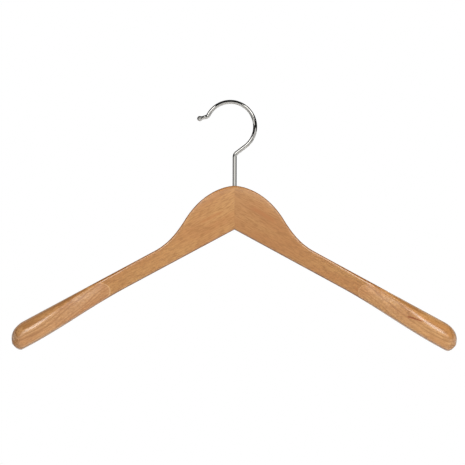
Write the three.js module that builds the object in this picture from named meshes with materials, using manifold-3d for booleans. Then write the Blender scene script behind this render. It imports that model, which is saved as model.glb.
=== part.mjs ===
// A wooden clothes hanger for shop displays, in millimetres, with +Z up and +X along its span.
//
// Two flat beech arms meet in a tongued joint at the middle. A pair of shaped blocks is glued on
// the end of each arm, front and back, and makes the broad shoulder. A bent wire hook turns in a
// bush in the joint, and a pin through the back of the wood holds it in by a groove.
//
// The origin is inside the crown of the hook, on the axis that the hook turns about, where the
// rail bears. The front of the hanger faces -Y.

import * as THREE from "three";
import { mergeVertices } from "three/addons/utils/BufferGeometryUtils.js";
import Module from "manifold-3d";

const { degToRad, smoothstep, lerp } = THREE.MathUtils;

// ---- Driving dimensions ----

// Profile of the arms, seen from the front. "Along" runs down an arm's straight lower edge from
// the apex of the V under the joint, and "up" is square to that edge.
const CREST_Z = -83.1; // top of the wood, at the joint
const APEX_Z = -127.4; // underside of the wood, at the joint
const ARM_DROOP = degToRad(28.35);
const ARM_HEIGHT = 19.1; // across the straight part of an arm
const HUMP_EDGE = new THREE.Vector2(50.2, -117.7); // where the hump turns from convex to concave
const HUMP_SLOPE = degToRad(58.3); // fall of the outline there
const HUMP_HANDLES = [4.6, 37.7, 19.7, 13.4]; // reach of the curve handles, from the crest outwards
const HUMP_END = 82; // along: where the upper edge becomes straight
const NOSE_END = 252; // along: the end of the arm
const NOSE_TOP = { length: 20, rise: 14.2 }; // quarter ellipse over the nose
const NOSE_UNDER = { length: 6.6, rise: 10.4 }; // quarter ellipse under it
const UNDER_SAG = { start: 124, end: 241, depth: 5.6 }; // the lower edge drops along the shoulder

// Section of the arms and shoulders, seen along an arm.
const BOARD_HALF = 7; // half the thickness of a flat arm
const SHOULDER_HALF = 21.5; // half the depth of the shoulder
const FLARE = { start: 125, end: 229 }; // along: the shoulder grows between these
const NOSE_SIDE = { length: 15.6, inset: 9 }; // the shoulder's end, rounded as seen from above
const BOARD_ROUND = 2; // edge rounding of the flat arm
const SHOULDER_ROUND = { up: 12, side: 15.5 }; // upper edge rounding of the full shoulder
const UNDER_ROUND = { up: 2.5, side: 5 }; // lower edge rounding of the full shoulder
const SHOULDER_CROWN = 0.8; // rise of the shoulder's top between its rounded edges

// Joint between the arms: five layers through the thickness. The outer two meet at the middle,
// and the inner three are tongues that reach past it by turns.
const LAYER = 2.8;
const TONGUE_REACH = 5;
const GLUE_GAP = 0.3;

// Hook, of round wire, in the plane of the hanger.
const WIRE_RADIUS = 2.05;
const LOOP = { x: -4.45, z: -23.1, radius: 25.1, end: degToRad(152.5) };
const CORNER = { z: -51.3, radius: 5 }; // bend between the shank and the loop's straight
const TIP_BEND = 3.5;
const TIP_FALL = degToRad(15); // the tip falls away from the loop at this angle
const TIP_LENGTH = 6.8;
const BALL_RADIUS = 2.65;
const SHANK_END_Z = -114;
const GROOVE = { z: -106, half: 1.1, radius: 1.3 };
const WIRE_SIDES = 14;
const WIRE_STEPS = 84;

// Bush and pin that hold the hook.
const SLEEVE = { inner: 2.35, outer: 3.15, top: -83.5, bottom: -112 };
const BORE = { radius: 3.45, bottom: -115.3 };
const PIN = { x: 2.45, radius: 0.8, front: -3.2, head: 1.3, headThickness: 0.6 };
const CLEARANCE = 0.3;

const BEECH = { left: "#c59263", right: "#b98559" };
const BLOCKS = { left: "#bf8c63", right: "#c69463" };

// ---- Solids ----

const wasm = await Module();
wasm.setup();

function solidOf(geometry) {
  const bare = geometry.clone();
  bare.deleteAttribute("normal");
  bare.deleteAttribute("uv");
  const merged = mergeVertices(bare);
  return new wasm.Manifold(
    new wasm.Mesh({
      numProp: 3,
      vertProperties: merged.attributes.position.array,
      triVerts: new Uint32Array(merged.index.array),
    }),
  );
}

function geometryOf(solid) {
  const mesh = solid.getMesh();
  const geometry = new THREE.BufferGeometry();
  geometry.setAttribute("position", new THREE.BufferAttribute(mesh.vertProperties, 3));
  geometry.setIndex(new THREE.BufferAttribute(mesh.triVerts, 1));
  const faceted = geometry.toNonIndexed();
  faceted.computeVertexNormals();
  return faceted;
}

function block([x0, x1], [y0, y1], [z0, z1]) {
  const box = new THREE.BoxGeometry(x1 - x0, y1 - y0, z1 - z0);
  return solidOf(box.translate((x0 + x1) / 2, (y0 + y1) / 2, (z0 + z1) / 2));
}

// Turns [radius, z] points about the Z axis.
function turned(profile, sides) {
  const points = profile.map(([radius, z]) => new THREE.Vector2(radius, z));
  return new THREE.LatheGeometry(points, sides).rotateX(Math.PI / 2);
}

// ---- Wood ----

function fromArm(along, up) {
  return new THREE.Vector2(
    along * Math.cos(ARM_DROOP) + up * Math.sin(ARM_DROOP),
    APEX_Z - along * Math.sin(ARM_DROOP) + up * Math.cos(ARM_DROOP),
  );
}

function alongOf(point) {
  return point.x * Math.cos(ARM_DROOP) - (point.y - APEX_Z) * Math.sin(ARM_DROOP);
}

// The hump's upper outline as two curves: crest to its turning point, then to the straight edge.
function humpCurves() {
  const crest = new THREE.Vector2(0, CREST_Z);
  const end = fromArm(HUMP_END, ARM_HEIGHT);
  const fall = new THREE.Vector2(Math.cos(HUMP_SLOPE), -Math.sin(HUMP_SLOPE));
  const droop = new THREE.Vector2(Math.cos(ARM_DROOP), -Math.sin(ARM_DROOP));
  const from = (point, direction, reach) => point.clone().addScaledVector(direction, reach);
  const [level, before, after, last] = HUMP_HANDLES;
  const upper = new THREE.CubicBezierCurve(
    crest,
    new THREE.Vector2(level, CREST_Z),
    from(HUMP_EDGE, fall, -before),
    HUMP_EDGE,
  );
  const lower = new THREE.CubicBezierCurve(
    HUMP_EDGE,
    from(HUMP_EDGE, fall, after),
    from(end, droop, -last),
    end,
  );
  return [upper, lower];
}

const NOSE_LEVEL = ARM_HEIGHT - NOSE_TOP.rise; // up: the height at which the nose ends

function quarterEllipse({ length, rise }, along) {
  const reach = Math.max(0, (along - (NOSE_END - length)) / length);
  return rise * Math.sqrt(Math.max(0, 1 - reach * reach));
}

function upperEdge(along) {
  return NOSE_LEVEL + quarterEllipse(NOSE_TOP, along);
}

function lowerEdge(along) {
  const sagged = -UNDER_SAG.depth * smoothstep(along, UNDER_SAG.start, UNDER_SAG.end);
  return Math.max(sagged, NOSE_LEVEL - quarterEllipse(NOSE_UNDER, along));
}

// Each station pairs a point of the upper outline with the point of the lower one across from it.
function station(top, bottom, along) {
  return { top, bottom, along };
}

const HUMP_STEPS = [7, 5];
const SHOULDER_STEPS = 11;
const NOSE_ANGLES = [24, 42, 56, 67, 76, 83].map(degToRad);

function armStations() {
  const list = [];
  const [upper, lower] = humpCurves();
  const skew = -alongOf(new THREE.Vector2(0, CREST_Z)); // the joint is upright, not square to the arm
  const humpStation = (top) => {
    const along = alongOf(top);
    const share = (along + skew) / (HUMP_END + skew);
    return station(top, fromArm(along + skew * (1 - share) ** 2, 0), along);
  };
  // The tongues reach past the middle, under the other arm's half of the hump.
  const past = upper.getPoints(20).find((point) => point.x >= TONGUE_REACH);
  const pastTop = new THREE.Vector2(-TONGUE_REACH, lerp(CREST_Z, past.y, TONGUE_REACH / past.x));
  const pastBottom = new THREE.Vector2(-TONGUE_REACH, APEX_Z - TONGUE_REACH * Math.tan(ARM_DROOP));
  list.push(station(pastTop, pastBottom, 0));
  upper.getPoints(HUMP_STEPS[0]).forEach((top) => list.push(humpStation(top)));
  lower.getPoints(HUMP_STEPS[1]).slice(1).forEach((top) => list.push(humpStation(top)));
  const straight = (along) =>
    list.push(station(fromArm(along, upperEdge(along)), fromArm(along, lowerEdge(along)), along));
  const noseStart = NOSE_END - NOSE_TOP.length;
  for (let step = 0; step <= SHOULDER_STEPS; step += 1) {
    straight(lerp(FLARE.start - 8, noseStart, step / SHOULDER_STEPS));
  }
  NOSE_ANGLES.forEach((angle) => straight(noseStart + NOSE_TOP.length * Math.sin(angle)));
  return list;
}

function flare(along) {
  return smoothstep(along, FLARE.start, FLARE.end);
}

function halfDepth(along) {
  const full = lerp(BOARD_HALF, SHOULDER_HALF, flare(along));
  const reach = Math.max(0, (along - (NOSE_END - NOSE_SIDE.length)) / NOSE_SIDE.length);
  return full - NOSE_SIDE.inset * (1 - Math.sqrt(Math.max(0, 1 - reach * reach)));
}

// A section's outline from the middle of its top, round one side, to the middle of its underside,
// as [y, height] pairs.
const ROUND_STEPS = 4;
const UNDER_STEPS = 2;

function halfSection(height, along) {
  const depth = halfDepth(along);
  const grown = flare(along);
  const side = Math.min(lerp(BOARD_ROUND, SHOULDER_ROUND.side, grown), depth - 1);
  const up = Math.min(lerp(BOARD_ROUND, SHOULDER_ROUND.up, grown), 0.6 * height);
  const underSide = lerp(BOARD_ROUND, UNDER_ROUND.side, grown);
  const underUp = Math.min(lerp(BOARD_ROUND, UNDER_ROUND.up, grown), 0.3 * height);
  const crown = Math.min(SHOULDER_CROWN * grown, 0.1 * height);
  const points = [[0, height], [(depth - side) / 2, height - crown / 4]];
  for (let step = 0; step <= ROUND_STEPS; step += 1) {
    const angle = (step / ROUND_STEPS) * (Math.PI / 2);
    const drop = crown + (up - crown) * (1 - Math.cos(angle));
    points.push([depth - side + side * Math.sin(angle), height - drop]);
  }
  for (let step = 0; step <= UNDER_STEPS; step += 1) {
    const angle = (step / UNDER_STEPS) * (Math.PI / 2);
    const rise = underUp * (1 - Math.sin(angle));
    points.push([depth - underSide * (1 - Math.cos(angle)), rise]);
  }
  points.push([0, 0]);
  return points;
}

// One closed ring of points round the wood at a station, mirrored for the left arm.
function ring({ top, bottom, along }, side) {
  const rise = top.clone().sub(bottom);
  const half = halfSection(rise.length(), along);
  const other = half.slice(1, -1).reverse().map(([y, height]) => [-y, height]);
  rise.normalize();
  const points = [...half, ...other].map(([y, height]) => {
    const at = bottom.clone().addScaledVector(rise, height);
    return new THREE.Vector3(side * at.x, y, at.y);
  });
  return side > 0 ? points.reverse() : points;
}

// Skins a row of rings and closes both ends with a fan about the first point.
function loft(rings) {
  const count = rings[0].length;
  const index = [];
  for (let row = 0; row + 1 < rings.length; row += 1) {
    for (let i = 0; i < count; i += 1) {
      const a = row * count + i;
      const b = row * count + ((i + 1) % count);
      index.push(a, b, a + count, b, b + count, a + count);
    }
  }
  const last = (rings.length - 1) * count;
  for (let i = 1; i + 1 < count; i += 1) {
    index.push(0, i + 1, i);
    index.push(last, last + i, last + i + 1);
  }
  const geometry = new THREE.BufferGeometry().setFromPoints(rings.flat());
  geometry.setIndex(index);
  return geometry;
}

function wholeArm(side) {
  return solidOf(loft(armStations().map((each) => ring(each, side))));
}

const FAR = 400; // beyond the hanger in every direction
const TALL = [-FAR, FAR];

function armSolid(side) {
  let arm = wholeArm(side).intersect(block(TALL, [-BOARD_HALF, BOARD_HALF], TALL));
  const reach = (near, far) => (side > 0 ? [near, far] : [-far, -near]);
  const half = GLUE_GAP / 2;
  const tongueHalf = LAYER / 2;
  const cuts = [];
  if (side > 0) {
    // One tongue, in the middle layer; slots on both sides of it.
    [-1, 1].forEach((face) => {
      const inner = tongueHalf - half;
      const slot = 1.5 * LAYER + half;
      cuts.push([reach(-FAR, half), [inner, FAR], face]);
      cuts.push([reach(-FAR, TONGUE_REACH + GLUE_GAP), [inner, slot], face]);
    });
  } else {
    // Two tongues; a slot between them.
    [-1, 1].forEach((face) => cuts.push([reach(-FAR, half), [1.5 * LAYER - half, FAR], face]));
    cuts.push([reach(-FAR, TONGUE_REACH + GLUE_GAP), [-tongueHalf - half, tongueHalf + half], 1]);
  }
  cuts.forEach(([x, [near, far], face]) => {
    arm = arm.subtract(block(x, face > 0 ? [near, far] : [-far, -near], TALL));
  });
  return arm.subtract(boreTool()).subtract(pinTool());
}

function shoulderBlock(side, face) {
  const near = BOARD_HALF + GLUE_GAP;
  const depths = face > 0 ? [near, FAR] : [-FAR, -near];
  return wholeArm(side).intersect(block(TALL, depths, TALL));
}

function boreTool() {
  const middle = (BORE.bottom + CREST_Z + 5) / 2;
  const bore = new THREE.CylinderGeometry(BORE.radius, BORE.radius, CREST_Z + 5 - BORE.bottom, 20);
  return solidOf(bore.rotateX(Math.PI / 2).translate(0, 0, middle));
}

// ---- Hook ----

// A centreline drawn in the X-Z plane, as a curve in space.
class WirePath extends THREE.Curve {
  constructor(flat) {
    super();
    this.flat = flat;
  }

  getPoint(t, target = new THREE.Vector3()) {
    const point = this.flat.getPoint(t);
    return target.set(point.x, 0, point.y);
  }
}

function hookCentreline() {
  const path = new THREE.Path();
  // A straight runs from the shank's corner and meets the loop on a tangent.
  const rise = new THREE.Vector2(LOOP.x, LOOP.z - CORNER.z);
  const heading = Math.acos(LOOP.radius / rise.length()) + Math.atan2(-rise.x, rise.y);
  const turn = Math.PI / 2 - heading;
  const bendStart = CORNER.z - CORNER.radius * Math.tan(turn / 2);
  path.moveTo(0, SHANK_END_Z);
  path.lineTo(0, bendStart);
  path.absarc(CORNER.radius, bendStart, CORNER.radius, Math.PI, Math.PI - turn, true);
  path.absarc(LOOP.x, LOOP.z, LOOP.radius, -turn, LOOP.end, false);
  // The tip bends back the other way, about a centre outside the loop.
  const centre = LOOP.radius + TIP_BEND;
  const tipX = LOOP.x + centre * Math.cos(LOOP.end);
  const tipZ = LOOP.z + centre * Math.sin(LOOP.end);
  const tipEnd = TIP_FALL - Math.PI / 2;
  path.absarc(tipX, tipZ, TIP_BEND, LOOP.end - Math.PI, tipEnd, true);
  const end = path.getPoint(1);
  path.lineTo(end.x - TIP_LENGTH * Math.cos(TIP_FALL), end.y - TIP_LENGTH * Math.sin(TIP_FALL));
  return path;
}

function hookSolid() {
  const centreline = hookCentreline();
  const section = new THREE.Shape().absarc(0, 0, WIRE_RADIUS, 0, 2 * Math.PI, false);
  const wire = new THREE.ExtrudeGeometry(section, {
    steps: WIRE_STEPS,
    curveSegments: WIRE_SIDES / 2,
    extrudePath: new WirePath(centreline),
  });
  const end = centreline.getPoint(1);
  const ball = new THREE.SphereGeometry(BALL_RADIUS, 14, 9).translate(end.x, 0, end.y);
  const low = GROOVE.z - GROOVE.half;
  const high = GROOVE.z + GROOVE.half;
  const outside = 2 * WIRE_RADIUS;
  const groove = turned(
    [[GROOVE.radius, low], [outside, low], [outside, high], [GROOVE.radius, high], [GROOVE.radius, low]],
    16,
  );
  return solidOf(wire).add(solidOf(ball)).subtract(solidOf(groove));
}

// ---- Bush and pin ----

// A pin along Y through the back of the wood, grown by a clearance where it is a hole's tool.
function pinProfile(clearance, back) {
  const headFront = BOARD_HALF - PIN.headThickness - clearance;
  return [
    [0, PIN.front - clearance],
    [PIN.radius + clearance, PIN.front - clearance],
    [PIN.radius + clearance, headFront],
    [PIN.head + clearance, headFront],
    [PIN.head + clearance, back],
    [0, back],
  ];
}

function pinGeometry(clearance, back) {
  const pin = turned(pinProfile(clearance, back), 12);
  return pin.rotateX(-Math.PI / 2).translate(PIN.x, 0, GROOVE.z);
}

function pinTool() {
  return solidOf(pinGeometry(CLEARANCE, BOARD_HALF + 2));
}

function sleeveSolid() {
  const { inner, outer, top, bottom } = SLEEVE;
  const wall = [[inner, bottom], [outer, bottom], [outer, top], [inner, top], [inner, bottom]];
  return solidOf(turned(wall, 20)).subtract(pinTool());
}

// ---- The hanger ----

function part(name, geometry, color, roughness, metalness) {
  const mesh = new THREE.Mesh(
    geometry,
    new THREE.MeshStandardMaterial({ color, roughness, metalness }),
  );
  mesh.name = name;
  return mesh;
}

const hanger = new THREE.Group();

[["left", -1], ["right", 1]].forEach(([name, side]) => {
  hanger.add(part(`${name}_arm`, geometryOf(armSolid(side)), BEECH[name], 0.45, 0));
  [["front", -1], ["back", 1]].forEach(([where, face]) => {
    const shoulder = geometryOf(shoulderBlock(side, face));
    hanger.add(part(`${name}_${where}_shoulder`, shoulder, BLOCKS[name], 0.4, 0));
  });
});

hanger.add(part("hook", geometryOf(hookSolid()), "#c9cbce", 0.08, 1));
hanger.add(part("hook_sleeve", geometryOf(sleeveSolid()), "#b8a06a", 0.3, 1));
hanger.add(part("retaining_pin", pinGeometry(0, BOARD_HALF - 0.1), "#8f9296", 0.35, 1));

export default hanger;
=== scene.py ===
"""A wooden shop hanger: two beech arms with glued shoulder blocks and a chrome hook that turns.

Every shape below is in millimetres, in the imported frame's axes, and becomes metres when its mesh
is made. "Along" runs down an arm's straight lower edge from the apex of the V under the joint,
and "up" is square to that edge.
"""

import math

import bmesh
import bpy
from mathutils import Matrix, Vector

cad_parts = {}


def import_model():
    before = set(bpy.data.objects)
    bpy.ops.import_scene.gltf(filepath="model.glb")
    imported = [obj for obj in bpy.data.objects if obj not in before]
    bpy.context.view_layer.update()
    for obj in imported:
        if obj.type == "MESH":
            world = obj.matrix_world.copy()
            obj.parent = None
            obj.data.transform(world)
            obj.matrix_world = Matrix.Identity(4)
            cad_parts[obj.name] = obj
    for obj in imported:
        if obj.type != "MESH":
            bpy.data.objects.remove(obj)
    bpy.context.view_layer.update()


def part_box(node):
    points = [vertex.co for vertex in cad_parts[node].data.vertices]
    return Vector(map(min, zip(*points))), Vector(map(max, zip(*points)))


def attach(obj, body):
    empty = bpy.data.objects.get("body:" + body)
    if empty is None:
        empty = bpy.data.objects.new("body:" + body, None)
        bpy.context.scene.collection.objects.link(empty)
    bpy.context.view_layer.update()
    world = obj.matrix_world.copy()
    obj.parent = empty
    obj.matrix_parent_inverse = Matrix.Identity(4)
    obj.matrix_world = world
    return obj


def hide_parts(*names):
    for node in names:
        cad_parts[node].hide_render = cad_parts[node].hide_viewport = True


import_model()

MM = 0.001


def corner(node, which, axis):
    """One coordinate of a CAD node's box in millimetres. which: 0 lowest, 1 highest."""
    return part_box(node)[which][axis] / MM


# ---- Driving dimensions ----

DROOP = math.radians(28.35)
CREST_Z = corner("right_arm", 1, 2)
APEX_Z = CREST_Z - 44.3
ARM_HEIGHT = 19.1
HUMP_EDGE = (50.2, APEX_Z + 9.7)  # where the hump turns from convex to concave
HUMP_SLOPE = math.radians(58.3)
HUMP_HANDLES = (4.6, 37.7, 19.7, 13.4)  # of its two curves, from the crest outwards
HUMP_END = 82.0
CREST_FALL = 0.02  # of the tongues' tops past the middle, by the square of the distance
NOSE_END = 252.0
NOSE_TOP = (20.0, 14.2)  # length and rise of the quarter ellipse over the nose
NOSE_UNDER = (6.6, 10.4)  # the same under it
UNDER_SAG = (124.0, 241.0, 5.6)  # start, end, depth

BOARD_HALF = corner("right_arm", 1, 1)
SHOULDER_HALF = corner("right_back_shoulder", 1, 1)
FLARE = (125.0, 229.0)  # along: the shoulder gets deeper between these
NOSE_SIDE = (11.0, 7.5)  # length and inset of its end's rounding, seen from above
HUMP_ROUND = 2.0  # the upper edge's rounding over the hump
BOARD_ROUND = (3.0, 2.0)  # the upper edge's rounding beyond the hump, and the lower edge's
BOARD_GROWS = (90.0, 125.0)  # along: the hump's rounding becomes the board's between these
SHOULDER_ROUND = (12.0, 15.5)  # the upper edge's rounding at the nose: up, side
UNDER_ROUND = (2.5, 5.0)  # the lower edge's there: up, side
UP_GROWS = (160.0, 232.0)  # along: the upper edge's rounding grows upwards between these
SIDE_GROWS = (145.0, 232.0)  # along: and sideways between these
UP_LIMIT, UNDER_LIMIT = 0.6, 0.3  # the most that a rounding takes of the height
SHOULDER_CROWN = 0.8  # how much higher a shoulder is in its middle than at its side
CROWN_LIMIT = 0.1  # the most that it takes of the height

FEATHER = 139.0  # along: where a block's thin end comes to nothing on the board
FEATHER_LIP = 0.08  # thickness left at that end
FEATHER_BOW = (0.08, 8.0)  # its curve: bend, and the height of its foremost point
FEATHER_FADE = 192.0  # along: the curve has died away by here
TOP_BOW_AT, BOTTOM_BOW_AT = 18.0, 1.0  # heights at which a board's edges follow that curve
FLARE_SHADE_FADE = (190.0, 215.0)  # along: a block's painted shade fades out between these
GLUE_AND_HIGHLIGHT_FADE = (1.7, 0.5)  # past the feather edge: its pale line is gone, and is still full

LAYER = 2.8  # each of the joint's five layers
TONGUE_REACH = 5.0
GLUE = 0.06  # width of a glue line
SEAM = GLUE / 2
BEYOND = 40.0  # cuts reach this far past the joint
BREAKTHROUGH = 1.0  # and this far past a face

WIRE = 2.05  # radius
LOOP_X, LOOP_Z, LOOP_RADIUS = -4.45, -23.1, 25.1
LOOP_END = math.radians(152.5)  # how far round its centre the loop turns into the tip
CORNER_Z = -51.3  # height where the shank's line meets the straight one on to the loop
CORNER_RADIUS = 5.0  # of the bend there
TIP_BEND = 3.5  # radius of the bend into the tip
TIP_FALL = math.radians(15)  # how far below level the tip points
TIP_LENGTH = 6.8  # from that bend to the ball's centre
NECK = 1.8  # radius
NECK_MEETS_BALL = 0.90294  # before the ball's centre, as a share of its radius
BALL = 2.65  # radius
SHANK_END_Z = corner("hook", 0, 2)
SHANK_CHAMFER = 0.4
GROOVE_Z, GROOVE_HALF, GROOVE_RADIUS = -106.0, 1.1, 1.3

SLEEVE_TOP = corner("hook_sleeve", 1, 2)
SLEEVE_BOTTOM = corner("hook_sleeve", 0, 2)
SLEEVE_OUTER = corner("hook_sleeve", 1, 0)
SLEEVE_INNER = WIRE + 0.12
BORE_BOTTOM = SHANK_END_Z - 1.3
PIN_X, PIN_RADIUS, PIN_FRONT = 2.45, 0.8, -3.2
PIN_POINT = 0.5
PIN_HEAD, PIN_HEAD_THICK = 1.3, 0.6
PRESS_FIT = 0.02  # between the wood and what is pressed or driven into it
HEAD_ROOM = 0.05  # round the pin's head


# ---- How finely the meshes are divided ----

STATION_STEP = 2.5  # along a straight arm
HUMP_STEPS = (34, 22)  # over the hump's convex and its concave stretch
NOSE_STEPS = 18
LAST_NOSE_ANGLE = math.radians(89.3)
TOP_STEPS = 3  # from the middle of a board's top to its rounding
TOP_REACH = 0.9  # the most of a board's half thickness that those steps cover
ROUND_STEPS = 7
BLOCK_STEPS = 12  # over a block, from the board to its own face
SIDE_STEPS = 8  # down a side
WIRE_SIDES, BUSH_SIDES, PIN_SIDES, PIN_HOLE_SIDES = 40, 48, 32, 24
CORNER_STEPS, LOOP_STEPS, SHANK_STEPS = 14, 110, 40
NECK_STEPS, BALL_STEPS = 12, 22
PIN_DOME_STEPS = 6

WOOD_CREASE = 38  # degrees between faces that make a crease
WIRE_CREASE = 50
TURNED_CREASE = 30


# ---- Small helpers ----


def lerp(a, b, t):
    return a + (b - a) * t


def smoothstep(x, start, end):
    t = min(1.0, max(0.0, (x - start) / (end - start)))
    return t * t * (3 - 2 * t)


def spread(count, start=0.0, end=1.0):
    """count + 1 evenly spaced values from start to end."""
    return [lerp(start, end, i / count) for i in range(count + 1)]


def mesh_piece(name, vertices, faces, crease=WOOD_CREASE):
    """A closed mesh from millimetre points, with its faces turned outwards and smoothly shaded."""
    mesh = bpy.data.meshes.new(name)
    mesh.from_pydata([Vector(v) * MM for v in vertices], [], faces)
    work = bmesh.new()
    work.from_mesh(mesh)
    bmesh.ops.recalc_face_normals(work, faces=work.faces)
    work.to_mesh(mesh)
    work.free()
    shade(mesh, crease)
    piece = bpy.data.objects.new(name, mesh)
    bpy.context.scene.collection.objects.link(piece)
    return piece


def shade(mesh, crease):
    """Smooth shading, apart from where faces meet more sharply than the crease angle."""
    mesh.polygons.foreach_set("use_smooth", [True] * len(mesh.polygons))
    mesh.set_sharp_from_angle(angle=math.radians(crease))
    mesh.update()


def circle(radius, height, sides, axis="Z", centre=(0, 0)):
    """Points round an axis at a height on it. centre is the axis's place across it."""
    points = []
    for i in range(sides):
        angle = 2 * math.pi * i / sides
        u = centre[0] + radius * math.cos(angle)
        v = centre[1] + radius * math.sin(angle)
        points.append((u, v, height) if axis == "Z" else (u, height, v))
    return points


def skin(rings):
    """Vertices and faces of a closed skin over rings of equal length, with both ends capped."""
    count = len(rings[0])
    faces = []
    for row in range(len(rings) - 1):
        for i in range(count):
            j = (i + 1) % count
            here, there = row * count, (row + 1) * count
            faces.append((here + i, here + j, there + j, there + i))
    last = (len(rings) - 1) * count
    faces.append(tuple(range(count)))
    faces.append(tuple(range(last, last + count)))
    return [point for ring in rings for point in ring], faces


# ---- Shape of the wood ----


def from_arm(along, up):
    """(x, z) on the right arm."""
    x = along * math.cos(DROOP) + up * math.sin(DROOP)
    z = APEX_Z - along * math.sin(DROOP) + up * math.cos(DROOP)
    return Vector((x, z))


def along_of(point):
    return point.x * math.cos(DROOP) - (point.y - APEX_Z) * math.sin(DROOP)


def bezier(points, steps):
    """Points and directions along a cubic curve, without its last point."""
    a, b, c, d = points
    found = []
    for t in spread(steps)[:-1]:
        u = 1 - t
        place = a * u**3 + b * (3 * u * u * t) + c * (3 * u * t * t) + d * t**3
        slope = (b - a) * (u * u) + (c - b) * (2 * u * t) + (d - c) * (t * t)
        found.append((place, slope.normalized()))
    return found


def hump_top(steps):
    """The hump's upper outline, from its crest to the start of the straight edge."""
    crest = Vector((0, CREST_Z))
    edge = Vector(HUMP_EDGE)
    end = from_arm(HUMP_END, ARM_HEIGHT)
    level = Vector((1, 0))
    fall = Vector((math.cos(HUMP_SLOPE), -math.sin(HUMP_SLOPE)))
    droop = Vector((math.cos(DROOP), -math.sin(DROOP)))
    h = HUMP_HANDLES
    convex = (crest, crest + level * h[0], edge - fall * h[1], edge)
    concave = (edge, edge + fall * h[2], end - droop * h[3], end)
    return bezier(convex, steps[0]) + bezier(concave, steps[1])


NOSE_LEVEL = ARM_HEIGHT - NOSE_TOP[1]


def quarter_ellipse(size, along):
    """Height left of a rise that rounds off to nothing at the end of the arm."""
    t = max(0.0, (along - (NOSE_END - size[0])) / size[0])
    return size[1] * math.sqrt(max(0.0, 1 - t * t))


def upper_edge(along):
    return NOSE_LEVEL + quarter_ellipse(NOSE_TOP, along)


def lower_edge(along):
    sagged = -UNDER_SAG[2] * smoothstep(along, UNDER_SAG[0], UNDER_SAG[1])
    return max(sagged, NOSE_LEVEL - quarter_ellipse(NOSE_UNDER, along))


BLOCK_DEPTH = SHOULDER_HALF - BOARD_HALF


def thickness(along):
    """Of a shoulder block, which has a thin but real angle at its feather edge."""
    full = BLOCK_DEPTH * smoothstep(along, *FLARE)
    missing = BLOCK_DEPTH * smoothstep(FEATHER, *FLARE)
    fade = max(0.0, (FLARE[1] - along) / (FLARE[1] - FEATHER))
    return max(0.0, full - missing * fade)


def bow(up):
    """How far the feather edge has drawn back at this height."""
    return FEATHER_BOW[0] * (up - FEATHER_BOW[1]) ** 2


def bow_fade(along):
    return 1 - smoothstep(along, FEATHER, FEATHER_FADE)


class Section:
    """The wood's outline across an arm: how it falls away to its side from its top and its bottom."""

    def __init__(self, along, height):
        thick = max(thickness(along), FEATHER_LIP if along >= FEATHER else 0)
        reach = max(0.0, (along - (NOSE_END - NOSE_SIDE[0])) / NOSE_SIDE[0])
        inset = NOSE_SIDE[1] * (1 - math.sqrt(max(0.0, 1 - reach * reach)))
        grown = thick / BLOCK_DEPTH
        self.depth = BOARD_HALF + thick - inset
        board = lerp(HUMP_ROUND, BOARD_ROUND[0], smoothstep(along, *BOARD_GROWS))
        side = lerp(board, SHOULDER_ROUND[1], smoothstep(along, *SIDE_GROWS))
        self.side = min(side, self.depth - 1)
        up = lerp(board, SHOULDER_ROUND[0], smoothstep(along, *UP_GROWS))
        self.up = min(up, UP_LIMIT * height)
        self.under_side = lerp(BOARD_ROUND[1], UNDER_ROUND[1], grown)
        self.under_up = min(lerp(BOARD_ROUND[1], UNDER_ROUND[0], grown), UNDER_LIMIT * height)
        self.crown = min(SHOULDER_CROWN * grown, CROWN_LIMIT * height)

    def drop(self, y):
        """Below the top edge."""
        round_off = self.fall(y, self.side, self.up)
        return round_off + self.crown * (y / self.depth) ** 2

    def rise(self, y):
        """Above the lower edge."""
        return self.fall(y, self.under_side, self.under_up)

    def fall(self, y, side, up):
        over = min(1.0, max(0.0, (y - (self.depth - side)) / side))
        return up * (1 - math.sqrt(1 - over * over))

    def ys_to_board(self, side):
        """From the middle to the board's face, closer together over the rounding."""
        start = max(0.0, min(self.depth - side, TOP_REACH * BOARD_HALF))
        last = math.asin(min(1.0, (BOARD_HALF - start) / max(side, BOARD_HALF - start)))
        flat = spread(TOP_STEPS, 0.0, start)
        size = (BOARD_HALF - start) / math.sin(last)
        return flat + [start + size * math.sin(angle) for angle in spread(ROUND_STEPS, 0.0, last)[1:]]

    def ys_to_face(self):
        """From the board's face to the block's own."""
        span = self.depth - BOARD_HALF
        return [BOARD_HALF + span * math.sin(angle) for angle in spread(BLOCK_STEPS, 0.0, math.pi / 2)]


class Station:
    """Where a section stands: a point of the upper outline and the one of the lower across from it."""

    def __init__(self, top, down, bottom, along):
        self.top = top
        self.down = down
        self.bottom = bottom
        self.along = along
        self.height = (top - bottom).length

    def from_top(self, drop):
        return self.top + self.down * drop

    def from_bottom(self, rise):
        return self.bottom + ARM_UP * rise


ARM_UP = Vector((math.sin(DROOP), math.cos(DROOP)))


def straight_station(along):
    top = from_arm(along, upper_edge(along))
    return Station(top, -ARM_UP, from_arm(along, lower_edge(along)), along)


def shoulder_alongs(start):
    nose_start = NOSE_END - NOSE_TOP[0]
    steps = round((nose_start - start) / STATION_STEP)
    turns = spread(NOSE_STEPS, 0.0, LAST_NOSE_ANGLE)[1:]
    nose = [nose_start + NOSE_TOP[0] * math.sin(turn) for turn in turns]
    return spread(steps, start, nose_start) + nose


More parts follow.
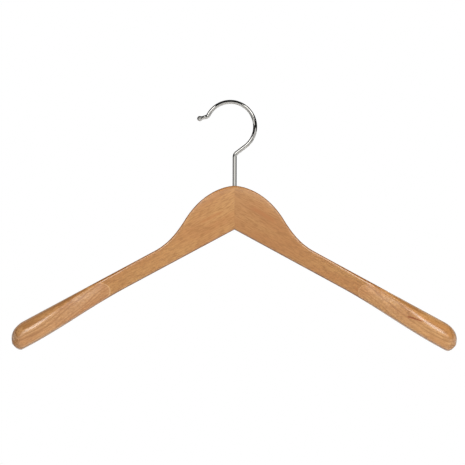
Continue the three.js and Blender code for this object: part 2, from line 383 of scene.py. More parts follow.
def arm_stations():
    """From past the middle, where the tongues end, to the nose."""
    apex_offset = -along_of(Vector((0, CREST_Z)))  # the joint is upright, not square to the arm
    stations = []
    for share in (1.0, 0.5):
        x = -share * (TONGUE_REACH + BREAKTHROUGH)
        top = Vector((x, CREST_Z - CREST_FALL * x * x))
        bottom = Vector((x, APEX_Z + x * math.tan(DROOP)))
        stations.append(Station(top, Vector((0, -1)), bottom, 0))
    for top, direction in hump_top(HUMP_STEPS):
        down = Vector((direction.y, -direction.x))
        along = along_of(top)
        share = (along + apex_offset) / (HUMP_END + apex_offset)
        bottom = from_arm(along + apex_offset * (1 - share) ** 2, 0)
        stations.append(Station(top, down, bottom, along))
    return stations + [straight_station(along) for along in shoulder_alongs(HUMP_END)]


def bowed(along, up):
    """The along at which a straight feather edge would give what the bowed one gives here."""
    return along - bow(up) * bow_fade(along)


def arm_ring(station):
    above = Section(bowed(station.along, TOP_BOW_AT), station.height)
    below = Section(bowed(station.along, BOTTOM_BOW_AT), station.height)
    top = [(y, station.from_top(above.drop(y))) for y in above.ys_to_board(above.side)]
    under = [(y, station.from_bottom(below.rise(y))) for y in below.ys_to_board(below.under_side)]
    high, low = top[-1][1], under[-1][1]
    side = [(BOARD_HALF, high.lerp(low, share)) for share in spread(SIDE_STEPS)[1:-1]]
    half = top + side + under[::-1]
    other_half = [(-y, place) for y, place in reversed(half[1:-1])]
    return [(place.x, y, place.y) for y, place in half + other_half]


def block_ring(along):
    """A block's section, drawn back by the bow of its feather edge."""
    height = upper_edge(along) - lower_edge(along)
    section = Section(along, height)
    inner = BOARD_HALF + SEAM
    section_ys = section.ys_to_face()

    def place(y, up, from_top):
        moved = along + bow(up) * bow_fade(along)
        edge = upper_edge(moved) - (height - up) if from_top else lower_edge(moved) + up
        at = from_arm(moved, edge)
        return (at.x, max(y, inner), at.y)

    top = [place(y, height - section.drop(y), True) for y in section_ys]
    bottom = [place(y, section.rise(y), False) for y in reversed(section_ys)]
    heights = height - section.drop(section.depth), section.rise(section.depth)
    inner_heights = section.rise(BOARD_HALF), height - section.drop(BOARD_HALF)
    shares = spread(SIDE_STEPS)[1:-1]
    side = [place(section.depth, lerp(*heights, share), share < 0.5) for share in shares]
    glued = [place(inner, lerp(*inner_heights, share), share > 0.5) for share in shares]
    return top + side + bottom + glued


def mirrored(points, side, face=1):
    return [(side * x, face * y, z) for x, y, z in points]


# ---- Cutting ----


def cutter(name, vertices, faces):
    piece = mesh_piece(name, vertices, faces)
    piece.hide_render = True
    return piece


def box_shape(low, high):
    (x0, y0, z0), (x1, y1, z1) = low, high
    ring = [(x0, y0), (x1, y0), (x1, y1), (x0, y1)]
    return skin([[(x, y, z0) for x, y in ring], [(x, y, z1) for x, y in ring]])


def cylinder_shape(radius, start, end, sides, axis="Z", centre=(0, 0)):
    """A cylinder along an axis between two heights on it."""
    return skin([circle(radius, height, sides, axis, centre) for height in (start, end)])


def cut(piece, shapes, crease=WOOD_CREASE):
    """Takes each (vertices, faces) shape away from the piece, for good."""
    for number, (vertices, faces) in enumerate(shapes):
        tool = cutter(f"{piece.name}_cut{number}", vertices, faces)
        modifier = piece.modifiers.new("cut", "BOOLEAN")
        modifier.operation = "DIFFERENCE"
        modifier.solver = "EXACT"
        modifier.object = tool
        bpy.context.view_layer.update()
        evaluated = piece.evaluated_get(bpy.context.evaluated_depsgraph_get())
        mesh = bpy.data.meshes.new_from_object(evaluated)
        piece.modifiers.clear()
        piece.data = mesh
        bpy.data.objects.remove(tool)
    shade(piece.data, crease)
    return piece


# ---- Wooden pieces ----


def layer_box(side, near, far, inner, outer, face):
    """A slab across the joint, between two distances along X and two depths on one face."""
    x = sorted((side * near, side * far))
    y = sorted((face * inner, face * outer))
    return box_shape((x[0], y[0], APEX_Z - BEYOND), (x[1], y[1], CREST_Z + BEYOND))


def joint_cuts(side):
    """What an arm loses at the joint: the right arm keeps the middle tongue, the left two others."""
    middle = LAYER / 2
    outer = 1.5 * LAYER
    past_face = BOARD_HALF + BREAKTHROUGH
    reach = TONGUE_REACH + SEAM
    if side > 0:
        cuts = [layer_box(side, -BEYOND, SEAM, middle - SEAM, past_face, face) for face in (-1, 1)]
        slots = [layer_box(side, 0, reach, middle - SEAM, outer + SEAM, face) for face in (-1, 1)]
        return cuts + slots
    cuts = [layer_box(side, -BEYOND, SEAM, outer - SEAM, past_face, face) for face in (-1, 1)]
    return cuts + [layer_box(side, -BEYOND, reach, -middle - SEAM, middle + SEAM, 1)]


def tongue_end_cut(side):
    past_face = BOARD_HALF + BREAKTHROUGH
    return layer_box(side, -BEYOND, -TONGUE_REACH, -past_face, past_face, 1)


def bore_shape():
    return cylinder_shape(SLEEVE_OUTER + PRESS_FIT, BORE_BOTTOM, CREST_Z + BEYOND, BUSH_SIDES)


def pin_hole_shapes():
    """The pin's hole and the recess for its head, both a little deeper than the pin."""
    centre = (PIN_X, GROOVE_Z)
    past_face = BOARD_HALF + BREAKTHROUGH
    deeper = 0.1
    front = PIN_FRONT - deeper
    seat = BOARD_HALF - PIN_HEAD_THICK - deeper
    hole = cylinder_shape(PIN_RADIUS + PRESS_FIT, front, past_face, PIN_HOLE_SIDES, "Y", centre)
    recess = cylinder_shape(PIN_HEAD + HEAD_ROOM, seat, past_face, PIN_SIDES, "Y", centre)
    return [hole, recess]


def arm(name, side):
    rings = [mirrored(arm_ring(station), side) for station in arm_stations()]
    piece = mesh_piece(f"{name}_arm_board", *skin(rings))
    cuts = [tongue_end_cut(side), *joint_cuts(side), bore_shape(), *pin_hole_shapes()]
    cut(piece, cuts)
    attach(piece, "hanger")
    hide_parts(f"{name}_arm")
    return piece


def shoulder(name, side, where, face):
    """A block glued on one face of an arm's end."""
    rings = [mirrored(block_ring(along), side, face) for along in shoulder_alongs(FEATHER)]
    piece = mesh_piece(f"{name}_{where}_block", *skin(rings))
    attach(piece, "hanger")
    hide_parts(f"{name}_{where}_shoulder")
    return piece


# ---- Hook, bush and pin ----


def arc(centre, radius, start, end, steps):
    """Points round a centre with the direction of travel, from one angle to another."""
    turn = 1 if end > start else -1
    found = []
    for angle in spread(steps, start, end):
        out = Vector((math.cos(angle), math.sin(angle)))
        found.append((centre + out * radius, Vector((-out.y, out.x)) * turn))
    return found


UPWARDS = Vector((0, 1))  # in the X-Z plane


def hook_path():
    """(point, direction) pairs up the shank, and on from there to the start of the straight tip."""
    rise = Vector((LOOP_X, LOOP_Z - CORNER_Z))
    heading = math.acos(LOOP_RADIUS / rise.length) + math.atan2(-rise.x, rise.y)
    turn = math.pi / 2 - heading
    bend_start = CORNER_Z - CORNER_RADIUS * math.tan(turn / 2)
    corner_centre = Vector((CORNER_RADIUS, bend_start))
    bend = arc(corner_centre, CORNER_RADIUS, math.pi, math.pi - turn, CORNER_STEPS)
    loop = arc(Vector((LOOP_X, LOOP_Z)), LOOP_RADIUS, -turn, LOOP_END, LOOP_STEPS)
    out = Vector((math.cos(LOOP_END), math.sin(LOOP_END)))
    tip_centre = Vector((LOOP_X, LOOP_Z)) + out * (LOOP_RADIUS + TIP_BEND)
    tip = arc(tip_centre, TIP_BEND, LOOP_END - math.pi, TIP_FALL - math.pi / 2, CORNER_STEPS)
    heights = spread(SHANK_STEPS, SHANK_END_Z, bend_start)[1:-1]
    return [(Vector((0, z)), UPWARDS) for z in heights], bend + loop + tip


def tip_profile():
    """(distance, radius) pairs along the straight tip: a neck, then the ball on its end."""
    neck_end = TIP_LENGTH - BALL * NECK_MEETS_BALL
    narrowed = 0.75 * neck_end
    found = []
    for distance in spread(NECK_STEPS, 0.0, neck_end)[1:]:
        found.append((distance, lerp(WIRE, NECK, smoothstep(distance, 0.0, narrowed))))
    start = math.asin(NECK / BALL)
    for angle in spread(BALL_STEPS, start, math.pi)[1:-1]:
        found.append((TIP_LENGTH - BALL * math.cos(angle), BALL * math.sin(angle)))
    return found


def shank_profile():
    """(height, radius) pairs at the shank's lower end, with the groove that the pin runs in."""
    low, high = GROOVE_Z - GROOVE_HALF, GROOVE_Z + GROOVE_HALF
    bevel = 0.15
    taper = 0.02  # of the groove's walls
    return [
        (SHANK_END_Z, WIRE - SHANK_CHAMFER),
        (SHANK_END_Z + SHANK_CHAMFER, WIRE),
        (low - bevel, WIRE),
        (low, WIRE - bevel),
        (low + taper, GROOVE_RADIUS),
        (high - taper, GROOVE_RADIUS),
        (high, WIRE - bevel),
        (high + bevel, WIRE),
    ]


def wire_ring(point, direction, radius):
    """A circle square to the wire, which lies in the X-Z plane."""
    out = Vector((direction.y, -direction.x))
    ring = []
    for i in range(WIRE_SIDES):
        angle = 2 * math.pi * i / WIRE_SIDES
        across = out * (radius * math.cos(angle))
        ring.append((point.x + across.x, radius * math.sin(angle), point.y + across.y))
    return ring


def hook():
    shank, bent = hook_path()
    grooved = shank_profile()
    plain_from = grooved[-1][0] + 1
    rings = [wire_ring(Vector((0, z)), UPWARDS, radius) for z, radius in grooved]
    rings += [wire_ring(place, way, WIRE) for place, way in shank if place.y > plain_from]
    rings += [wire_ring(place, way, WIRE) for place, way in bent]
    start, way = bent[-1]
    rings += [wire_ring(start + way * distance, way, radius) for distance, radius in tip_profile()]
    piece = mesh_piece("hook_wire", *skin(rings), WIRE_CREASE)
    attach(piece, "hook")
    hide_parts("hook")
    return piece


def lathe(name, profile, sides, axis="Z", centre=(0, 0), closed=False):
    """Turns (radius, height) points about an axis. A closed profile makes a tube."""
    rings = [circle(radius, height, sides, axis, centre) for radius, height in profile]
    vertices, faces = skin(rings)
    if closed:
        last = (len(rings) - 1) * sides
        faces = faces[:-2]
        for i in range(sides):
            j = (i + 1) % sides
            faces.append((last + i, last + j, j, i))
    return mesh_piece(name, vertices, faces, TURNED_CREASE)


def bush():
    lip = 0.15
    inner, outer, top, bottom = SLEEVE_INNER, SLEEVE_OUTER, SLEEVE_TOP, SLEEVE_BOTTOM
    profile = [
        (inner, bottom + lip),
        (inner + lip, bottom),
        (outer - lip, bottom),
        (outer, bottom + lip),
        (outer, top - lip),
        (outer - lip, top),
        (inner + lip, top),
        (inner, top - lip),
    ]
    piece = lathe("hook_bush", profile, BUSH_SIDES, closed=True)
    hole = pin_hole_shapes()[0]
    cut(piece, [hole], TURNED_CREASE)
    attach(piece, "hanger")
    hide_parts("hook_sleeve")
    return piece


def pin():
    """A domed brad, driven in from the back."""
    head_start = BOARD_HALF - PIN_HEAD_THICK
    bevel = 0.1
    rim_top = head_start + 0.2
    dome = PIN_HEAD_THICK - 0.3
    profile = [
        (0.05, PIN_FRONT),
        (0.7 * PIN_RADIUS, PIN_FRONT + bevel),
        (PIN_RADIUS, PIN_FRONT + PIN_POINT),
        (PIN_RADIUS, head_start),
        (PIN_HEAD - bevel, head_start),
        (PIN_HEAD, head_start + bevel),
    ]
    for angle in spread(PIN_DOME_STEPS, 0, math.radians(86)):
        profile.append((PIN_HEAD * math.cos(angle), rim_top + dome * math.sin(angle)))
    piece = lathe("pin_brad", profile, PIN_SIDES, "Y", (PIN_X, GROOVE_Z))
    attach(piece, "hanger")
    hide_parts("retaining_pin")
    return piece


# ---- Materials ----


class Nodes:
    """A node tree, with short calls for the few kinds of node used here."""

    def __init__(self, tree):
        self.tree = tree

    def link(self, value, socket):
        if isinstance(value, bpy.types.NodeSocket):
            self.tree.links.new(value, socket)
        else:
            socket.default_value = value

    def math(self, operation, a, b=0.0, c=0.0):
        node = self.tree.nodes.new("ShaderNodeMath")
        node.operation = operation
        for value, socket in zip((a, b, c), node.inputs):
            self.link(value, socket)
        return node.outputs[0]

    def coordinates(self, kind):
        """Texture coordinates. kind: Object for places in the frame, Normal or Generated."""
        return self.tree.nodes.new("ShaderNodeTexCoord").outputs[kind]

    def split(self, vector):
        """A vector's three parts."""
        node = self.tree.nodes.new("ShaderNodeSeparateXYZ")
        self.link(vector, node.inputs[0])
        return tuple(node.outputs)

    def vector_math(self, operation, a, b):
        node = self.tree.nodes.new("ShaderNodeVectorMath")
        node.operation = operation
        self.link(a, node.inputs[0])
        self.link(b, node.inputs[1])
        return node.outputs[0]

    def ramp(self, value, low, high, to_low=0.0, to_high=1.0):
        """Smoothly maps low..high to to_low..to_high."""
        node = self.tree.nodes.new("ShaderNodeMapRange")
        node.interpolation_type = "SMOOTHSTEP"
        for item, socket in zip((value, low, high, to_low, to_high), node.inputs):
            self.link(item, socket)
        return node.outputs[0]

    def mix(self, factor, a, b, blend="MIX"):
        node = self.tree.nodes.new("ShaderNodeMix")
        node.data_type = "RGBA"
        node.blend_type = blend
        self.link(factor, node.inputs[0])
        self.link(a, node.inputs[6])
        self.link(b, node.inputs[7])
        return node.outputs[2]

    def noise(self, vector, scale, detail=3.0, roughness=0.5):
        node = self.tree.nodes.new("ShaderNodeTexNoise")
        self.link(vector, node.inputs["Vector"])
        self.link(scale, node.inputs["Scale"])
        self.link(detail, node.inputs["Detail"])
        self.link(roughness, node.inputs["Roughness"])
        return node.outputs[0]


def new_material(name):
    """A material with its node calls and its shader's sockets."""
    material = bpy.data.materials.new(name)
    material.use_nodes = True
    tree = material.node_tree
    return material, Nodes(tree), tree.nodes["Principled BSDF"].inputs


def linear(color):
    """An sRGB colour, 0 to 255, as the linear colour that a shader takes."""
    def one(value):
        share = value / 255
        return share / 12.92 if share <= 0.04045 else ((share + 0.055) / 1.055) ** 2.4

    return (*[one(value) for value in color], 1.0)


def tinted(color, tint):
    return (*[part * factor for part, factor in zip(color, tint)], 1.0)


def stretched(nodes, place, along, across):
    """Coordinates for a texture: 1 / length of its features along the grain and across it."""
    return nodes.vector_math("MULTIPLY", place, (along, across, across))


RING_WANDER = 9.0
RING_UNEVEN = 6.0


def late_wood(nodes, place, tilt, width):
    """Growth rings: bands across a tilted direction, uneven in width and in strength."""
    _, depth, up = nodes.split(place)
    across = nodes.math("MULTIPLY", up, math.sin(tilt))
    across = nodes.math("MULTIPLY_ADD", depth, math.cos(tilt), across)
    wander = nodes.noise(stretched(nodes, place, 0.006, 0.05), 1.0, 2.0)
    uneven = nodes.noise(stretched(nodes, place, 0.002, 0.13), 1.0, 1.0)
    across = nodes.math("MULTIPLY_ADD", wander, RING_WANDER, across)
    across = nodes.math("MULTIPLY_ADD", uneven, RING_UNEVEN, across)
    ring = nodes.math("DIVIDE", across, width)
    growth = nodes.math("FRACT", ring)
    band = nodes.math("MULTIPLY", nodes.ramp(growth, 0.35, 0.9), nodes.ramp(growth, 1.0, 0.9))
    each = nodes.tree.nodes.new("ShaderNodeTexWhiteNoise")
    each.noise_dimensions = "1D"
    nodes.link(nodes.math("FLOOR", ring), each.inputs["W"])
    strength = nodes.math("MULTIPLY_ADD", each.outputs["Value"], 0.75, 0.25)
    return nodes.math("MULTIPLY", band, strength)


def flecks(nodes, place, along, across, size):
    """Short lens-shaped marks, one in each stretched cell, strong in some cells and faint in others."""
    node = nodes.tree.nodes.new("ShaderNodeTexVoronoi")
    nodes.link(stretched(nodes, place, along, across), node.inputs["Vector"])
    node.inputs["Scale"].default_value = 1.0
    any_value = nodes.split(node.outputs["Color"])[0]  # the same all over a cell
    mark = nodes.ramp(node.outputs["Distance"], size, 0.35 * size)
    return nodes.math("MULTIPLY", mark, nodes.ramp(any_value, 0.2, 0.9, 0.15, 1.0))


WAVER = 1.0  # how far a line strays to either side


def line_mark(nodes, place, start, end, half_width):
    """A thin wavering line between two (along, up) points on an arm, fading at both ends."""
    along, _, up = nodes.split(place)
    slope = (end[1] - start[1]) / (end[0] - start[0])
    wave = nodes.noise(stretched(nodes, place, 0.12, 0.12), 1.0, 2.0)
    off = nodes.math("MULTIPLY_ADD", along, -slope, up)
    off = nodes.math("SUBTRACT", off, start[1] - slope * start[0])
    off = nodes.math("MULTIPLY_ADD", wave, 2 * WAVER, nodes.math("SUBTRACT", off, WAVER))
    near = nodes.ramp(nodes.math("ABSOLUTE", off), half_width, 0.2 * half_width)
    fade = 0.25 * (end[0] - start[0])
    begun = nodes.ramp(along, start[0], start[0] + fade)
    not_ended = nodes.ramp(along, end[0], end[0] - fade)
    return nodes.math("MULTIPLY", near, nodes.math("MULTIPLY", begun, not_ended))


def glue_and_highlight_line(nodes, place):
    """The pale line along a block's feather edge on the board: sanded glue, and a painted highlight
    where the edge's thin lip catches the light.
    """
    along, _, up = nodes.split(place)
    off = nodes.math("SUBTRACT", up, FEATHER_BOW[1])
    bend = nodes.math("MULTIPLY", nodes.math("MULTIPLY", off, off), FEATHER_BOW[0])
    from_edge = nodes.math("SUBTRACT", nodes.math("SUBTRACT", along, bend), FEATHER)
    return nodes.ramp(from_edge, *GLUE_AND_HIGHLIGHT_FADE)


def arm_place(nodes, side):
    """(along, depth, up) on an arm in millimetres, from the object's own coordinates."""
    mapping = nodes.tree.nodes.new("ShaderNodeMapping")
    mapping.vector_type = "TEXTURE"
    mapping.inputs["Location"].default_value = (0, 0, APEX_Z * MM)
    mapping.inputs["Rotation"].default_value = (0, side * DROOP, 0)
    mapping.inputs["Scale"].default_value = (side * MM, MM, MM)
    nodes.link(nodes.coordinates("Object"), mapping.inputs["Vector"])
    return mapping.outputs[0]


def flare_shade_mask(nodes, place):
    """1 where a block is thin, 0 where it is thick: painted shade there tones down the lights' sheen on
    its widening face.
    """
    along = nodes.split(place)[0]
    return nodes.ramp(along, FLARE_SHADE_FADE[1], FLARE_SHADE_FADE[0])


def edge_shade_and_wear(nodes):
    """1 on narrow roundings between the faces and the edges of the wood, 0 on the faces themselves.
    Those roundings get painted shade, and thinner lacquer.
    """
    facing = nodes.math("ABSOLUTE", nodes.split(nodes.coordinates("Normal"))[1])
    return nodes.math("MULTIPLY", nodes.ramp(facing, 0.9, 0.65), nodes.ramp(facing, 0.0, 0.15))


# How a beech tone differs from the piece's own colour, in red, green and blue.
DEEP = (0.69, 0.60, 0.48)  # fibres, pores and flecks
PALE = (1.08, 1.12, 1.16)  # one end of the wood's slow changes in tone
ROSY = (0.97, 0.87, 0.83)  # and the other
LATE = (0.62, 0.50, 0.38)  # the dark side of a growth ring
EDGE_SHADE = (0.50, 0.38, 0.26)  # painted shade on the roundings at the wood's edges
GLUE_AND_HIGHLIGHT = (1.16, 1.30, 1.50)  # along a glue line: sanded glue, and a painted highlight on the feather edge's lip
FLARE_SHADE_TINT = (0.90, 0.86, 0.82, 1.0)  # painted shade on a block towards its thin end, against the lights' sheen on its widening face

GRAIN_APART = (137.0, 31.0, 53.0)  # how far a seed of 1 moves the grain
WORN_COAT = 0.8  # how much of the lacquer is gone from a worn edge


def beech(name, side, color, seed, tilt, ring_width, ring_depth, marks=(), glue=0.0):
    """Lacquered beech whose grain runs along an arm.

    tilt: the rings' angle in degrees. marks: (start, end, half width, strength, tint) of lines in it.
    glue: how clearly a block's pale glue line shows, partly sanded glue and partly painted highlight; 0
    for a board, whose edge roundings get painted shade and thinner lacquer instead.
    """
    material, nodes, shader = new_material(name)
    place = arm_place(nodes, side)
    grain = nodes.vector_math("ADD", place, tuple(seed * step for step in GRAIN_APART))
    late = late_wood(nodes, grain, math.radians(tilt), ring_width)
    fibre = nodes.noise(stretched(nodes, grain, 0.06, 0.9), 1.0, 4.0, 0.62)
    cloud = nodes.noise(stretched(nodes, grain, 0.016, 0.09), 1.0, 2.0)
    mottle = nodes.noise(stretched(nodes, grain, 0.16, 1.1), 1.0, 3.0, 0.6)
    coarse = flecks(nodes, grain, 0.17, 1.5, 0.45)
    fine = flecks(nodes, grain, 0.6, 2.9, 0.42)

    base = linear(color)
    deep = tinted(base, DEEP)
    tone = nodes.mix(nodes.ramp(cloud, 0.32, 0.68), tinted(base, ROSY), tinted(base, PALE))
    tone = nodes.mix(nodes.math("MULTIPLY", late, ring_depth), tone, tinted(base, LATE))
    tone = nodes.mix(nodes.ramp(fibre, 0.38, 0.68, 0.0, 0.36), tone, deep)
    tone = nodes.mix(nodes.ramp(mottle, 0.45, 0.64, 0.0, 0.76), tone, deep)
    tone = nodes.mix(nodes.math("MULTIPLY", coarse, 0.6), tone, deep)
    tone = nodes.mix(nodes.math("MULTIPLY", fine, 0.30), tone, deep)
    for start, end, half_width, strength, tint in marks:
        mark = line_mark(nodes, place, start, end, half_width)
        tone = nodes.mix(nodes.math("MULTIPLY", mark, strength), tone, tinted(base, tint))
    shader["Coat Weight"].default_value = 1.0
    if glue:
        # painted shade: a block is darker towards its thin end, where the lights leave a sheen on its
        # widening face
        darker = nodes.mix(1.0, tone, FLARE_SHADE_TINT, "MULTIPLY")
        tone = nodes.mix(flare_shade_mask(nodes, place), tone, darker)
        # the pale glue line: sanded glue, and a painted highlight on the feather edge's lip
        line = nodes.math("MULTIPLY", glue_and_highlight_line(nodes, place), glue)
        tone = nodes.mix(line, tone, tinted(base, GLUE_AND_HIGHLIGHT))
    else:
        # painted shade on the edges' roundings, with thinner lacquer there
        edge = edge_shade_and_wear(nodes)
        tone = nodes.mix(edge, tone, tinted(base, EDGE_SHADE))
        nodes.link(nodes.math("MULTIPLY_ADD", edge, -WORN_COAT, 1.0), shader["Coat Weight"])
    nodes.link(tone, shader["Base Color"])

    nodes.link(nodes.ramp(fibre, 0.2, 0.8, 0.42, 0.58), shader["Roughness"])
    shader["IOR"].default_value = 1.48
    shader["Coat IOR"].default_value = 1.8
    shader["Coat Roughness"].default_value = 0.21
    bump = nodes.tree.nodes.new("ShaderNodeBump")
    bump.inputs["Strength"].default_value = 0.15
    bump.inputs["Distance"].default_value = 0.02 * MM
    nodes.link(nodes.math("SUBTRACT", fibre, fine), bump.inputs["Height"])
    nodes.link(bump.outputs[0], shader["Normal"])
    return material


CROWN = (-6.0, -2.0)  # heights from which a rail scuffs the wire a little, and fully


def scuff(nodes):
    """1 on the inside of the hook's crown, where it slides along a rail."""
    height = nodes.split(nodes.coordinates("Object"))[2]
    facing_up = nodes.split(nodes.coordinates("Normal"))[2]
    crown = nodes.ramp(height, CROWN[0] * MM, CROWN[1] * MM)
    return nodes.math("MULTIPLY", crown, nodes.ramp(facing_up, -0.5, -0.9))


DULL = (0.95, 0.95, 0.95)


def metal(name, color, roughness, unevenness, drawn=(1.0, 1.0, 1.0), scuffed=0.0):
    """Plated or drawn metal, duller and rougher in places.

    drawn: less than 1 along the way it was drawn, which lengthens those places.
    scuffed: how much rougher it is where it slides along a rail.
    """
    material, nodes, shader = new_material(name)
    place = nodes.vector_math("MULTIPLY", nodes.coordinates("Object"), drawn)
    places = nodes.noise(place, 1 / MM)
    base = linear(color)
    tone = nodes.mix(nodes.ramp(places, 0.3, 0.8), base, tinted(base, DULL))
    nodes.link(tone, shader["Base Color"])
    rough = nodes.ramp(places, 0.3, 0.8, roughness, roughness + unevenness)
    if scuffed:
        rough = nodes.math("MULTIPLY_ADD", scuff(nodes), scuffed, rough)
    nodes.link(rough, shader["Roughness"])
    shader["Metallic"].default_value = 1.0
    return material


def paint(piece, material):
    piece.data.materials.clear()
    piece.data.materials.append(material)


# ---- The hanger ----

CHROME = (202, 200, 195)
BRASS = (184, 160, 106)
STEEL = (143, 146, 150)
BOARD_COLORS = {"left": (184, 132, 73), "right": (176, 125, 68)}
BLOCK_COLORS = {"left": (198, 148, 95), "right": (198, 148, 92)}
BOARD_SEEDS = {"left": 1.7, "right": 2.7}
BLOCK_SEEDS = {"left": 6.2, "right": 6.3}
GLUE_AND_HIGHLIGHT_LINES = {"left": 0.7, "right": 0.2}  # how clearly each side's pale line shows: sanded glue and painted highlight
BOARD_RINGS = {"tilt": 68, "ring_width": 3.8, "ring_depth": 0.16}
BLOCK_RINGS = {"ring_width": 2.4, "ring_depth": 0.9}
BLOCK_TILT = 41
REDDISH = (0.86, 0.68, 0.56)
MINERAL = (0.46, 0.20, 0.0)
BOARD_MARKS = {
    "left": (((0.0, 21.6), (30.0, 22.4), 2.5, 0.6, REDDISH),),
    "right": (
        ((1.3, 27.8), (35.0, 26.8), 3.0, 0.9, REDDISH),
        ((134.5, 6.8), (140.0, 6.2), 1.6, 0.8, REDDISH),
    ),
}
MINERAL_STREAK = (
    ((194.0, 6.3), (204.0, 7.8), 1.4, 1.0, MINERAL),
    ((197.0, 6.6), (212.0, 9.4), 1.1, 1.0, MINERAL),
)


def board_beech(name, side):
    return beech(
        f"{name}_beech",
        side,
        BOARD_COLORS[name],
        BOARD_SEEDS[name],
        marks=BOARD_MARKS[name],
        **BOARD_RINGS,
    )


def block_beech(name, side, where, face):
    return beech(
        f"{name}_{where}_beech",
        side,
        BLOCK_COLORS[name],
        BLOCK_SEEDS[name] + face,
        tilt=BLOCK_TILT * face,
        marks=MINERAL_STREAK if (name, where) == ("right", "front") else (),
        glue=GLUE_AND_HIGHLIGHT_LINES[name],
        **BLOCK_RINGS,
    )


for name, side in (("left", -1), ("right", 1)):
    paint(arm(name, side), board_beech(name, side))
    for where, face in (("front", -1), ("back", 1)):
        paint(shoulder(name, side, where, face), block_beech(name, side, where, face))

paint(hook(), metal("chrome", CHROME, 0.055, 0.03, scuffed=0.25))
paint(bush(), metal("brass", BRASS, 0.3, 0.1, drawn=(1, 1, 0.1)))
paint(pin(), metal("steel", STEEL, 0.32, 0.1, drawn=(1, 0.1, 1)))


# ---- Studio ----

# Everything from here on is in metres.

FLOOR_Z = -0.75
FLOOR_HALF = 4.5
FLOOR_GLOW = 0.9  # keeps it pale to the camera wherever the lights do not reach
FORWARD = Vector((0, 1, 0))  # the way the camera looks
SIDEWAYS = Vector((1, 0, 0))


def floor():
    half = FLOOR_HALF
    corners = [(-half, -half, 0), (half, -half, 0), (half, half, 0), (-half, half, 0)]
    mesh = bpy.data.meshes.new("floor")
    mesh.from_pydata(corners, [], [(0, 1, 2, 3)])
    plane = bpy.data.objects.new("floor", mesh)
    plane.location.z = FLOOR_Z
    bpy.context.scene.collection.objects.link(plane)
    material, nodes, shader = new_material("floor_white")
    shader["Base Color"].default_value = (0.8, 0.8, 0.8, 1)
    shader["Roughness"].default_value = 0.9
    shader["Emission Color"].default_value = (1, 1, 1, 1)
    seen = nodes.tree.nodes.new("ShaderNodeLightPath").outputs["Is Camera Ray"]
    nodes.link(nodes.math("MULTIPLY", seen, FLOOR_GLOW), shader["Emission Strength"])
    mesh.materials.append(material)


AIM = Vector((0, 0, -0.13))  # the middle of the hanger
LIGHT_DISTANCE = 1.4


def lamp(name, place, facing, long_way, size, radiance, reflected=True):
    """A soft rectangular light. size: across long_way and along it. The camera never sees it.

    reflected: whether the lacquer and the chrome show it.
    """
    data = bpy.data.lights.new(name, "AREA")
    data.shape = "RECTANGLE"
    data.size, data.size_y = size
    data.energy = radiance * math.pi * size[0] * size[1]
    light = bpy.data.objects.new(name, data)
    light.visible_camera = False
    light.visible_glossy = reflected
    back = -facing.normalized()
    along = (long_way - back * long_way.dot(back)).normalized()
    axes = Matrix((along.cross(back), along, back)).transposed()
    light.matrix_world = Matrix.Translation(place) @ axes.to_4x4()
    bpy.context.scene.collection.objects.link(light)


def softbox(name, azimuth, off_axis, size, radiance, reflected=True):
    """A light aimed at the hanger. size: across and outwards.

    azimuth turns from +X towards +Z, off_axis is the angle from straight in front, both in degrees.
    """
    a, b = math.radians(azimuth), math.radians(off_axis)
    outward = Vector((math.cos(a), 0, math.sin(a)))
    away = outward * math.sin(b) - Vector((0, math.cos(b), 0))
    lamp(name, AIM + away * LIGHT_DISTANCE, -away, outward, size, radiance, reflected)


CARD_AHEAD = 0.4  # of the hanger
CARD_ASIDE = 0.7
ROOM_DIM = 0.025
ROOM_FLOOR = 0.5
FLOOR_STARTS = (-0.4, -0.02)  # how high a ray points that meets only floor, and none of it
BACKDROP = 0.25  # as the chrome mirrors it
BACKDROP_SPILL = 0.15  # as it lights the wood
BACKDROP_STARTS = (0.62, 1.0)  # how far back a ray points that meets its edge, and all of it
BACKDROP_RISE = 0.3  # it reaches further round above than at the sides


def world():
    """The room round the hanger: a pale backdrop, a grey floor, dim above and in front of it.

    The camera itself sees plain white.
    """
    room = bpy.data.worlds.new("room")
    bpy.context.scene.world = room
    room.use_nodes = True
    tree = room.node_tree
    tree.nodes.clear()
    nodes = Nodes(tree)
    _, backward, up = nodes.split(nodes.coordinates("Generated"))
    level = nodes.ramp(up, *FLOOR_STARTS, ROOM_FLOOR, ROOM_DIM)
    behind = nodes.math("MULTIPLY_ADD", up, BACKDROP_RISE, backward)
    path = tree.nodes.new("ShaderNodeLightPath").outputs
    pale = nodes.ramp(path["Is Glossy Ray"], 0.0, 1.0, BACKDROP_SPILL, BACKDROP)
    level = nodes.math("MAXIMUM", level, nodes.ramp(behind, *BACKDROP_STARTS, 0.0, pale))
    lit, seen = background(nodes, level), background(nodes, 1.0)
    mix = tree.nodes.new("ShaderNodeMixShader")
    for value, socket in zip((path["Is Camera Ray"], lit, seen), mix.inputs):
        nodes.link(value, socket)
    output = tree.nodes.new("ShaderNodeOutputWorld")
    nodes.link(mix.outputs[0], output.inputs[0])


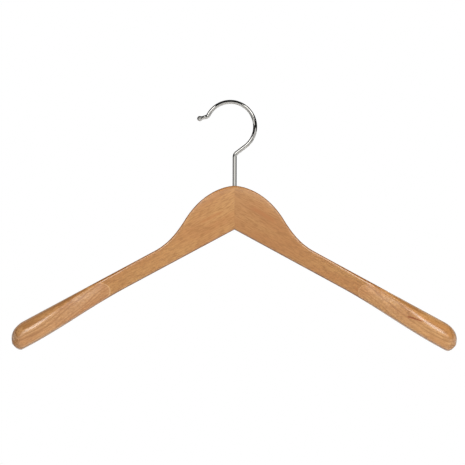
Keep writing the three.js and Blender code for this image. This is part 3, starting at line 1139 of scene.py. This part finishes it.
def background(nodes, strength):
    node = nodes.tree.nodes.new("ShaderNodeBackground")
    node.inputs["Color"].default_value = (1, 1, 1, 1)
    nodes.link(strength, node.inputs["Strength"])
    return node.outputs[0]


def front_card(name, middle, top, size, radiance):
    """An upright card in front of the hanger. size: height and width."""
    place = Vector((middle, -CARD_AHEAD, top - size[0] / 2))
    lamp(name, place, FORWARD, SIDEWAYS, size, radiance)


def side_card(name, side, top, height, radiance):
    """A long low card beside the hanger, which the lower half of the hook's loop mirrors."""
    place = Vector((side * CARD_ASIDE, 0, top - height / 2))
    lamp(name, place, -side * SIDEWAYS, FORWARD, (height, 2 * CARD_ASIDE), radiance)


floor()
world()
softbox("key_right", 49, 37, (0.46, 0.68), 3.5)
softbox("key_left", 133, 37, (0.36, 0.62), 3.7)
softbox("fill", 72, 44, (1.0, 1.0), 6.5, reflected=False)
softbox("rear_right", 0, 135, (0.9, 0.9), 5.0, reflected=False)
softbox("rear_left", 180, 135, (0.9, 0.9), 5.0, reflected=False)
softbox("rear_key", 60, 155, (0.4, 0.6), 2.0)
side_card("card_right", 1, -0.13, 0.24, 0.6)
side_card("card_left", -1, -0.09, 0.12, 0.4)
front_card("card_beside", -0.5, -0.07, (0.11, 0.5), 0.9)
front_card("card_upper", 0.0, -0.022, (0.06, 1.2), 1.05)
front_card("card_lower", 0.0, -0.09, (0.32, 1.2), 0.26)


# ---- Camera ----

LENS = 250  # in millimetres, like the sensor
SENSOR = 36
VIEW_WIDTH = 0.4713  # across the picture, at the hanger
VIEW_CENTRE = Vector((-0.00198, 0, -0.13041))
ROLL = -0.0029  # the photograph's own, in radians
FARTHEST_SEEN = 20


def camera():
    data = bpy.data.cameras.new("camera")
    data.lens = LENS
    data.sensor_width = SENSOR
    data.clip_end = FARTHEST_SEEN
    eye = bpy.data.objects.new("camera", data)
    distance = VIEW_WIDTH * LENS / SENSOR
    eye.location = VIEW_CENTRE + Vector((0, -distance, 0))
    eye.rotation_euler = (math.pi / 2, ROLL, 0)
    bpy.context.scene.collection.objects.link(eye)
    bpy.context.scene.camera = eye


camera()
bpy.context.scene.view_settings.view_transform = "Standard"
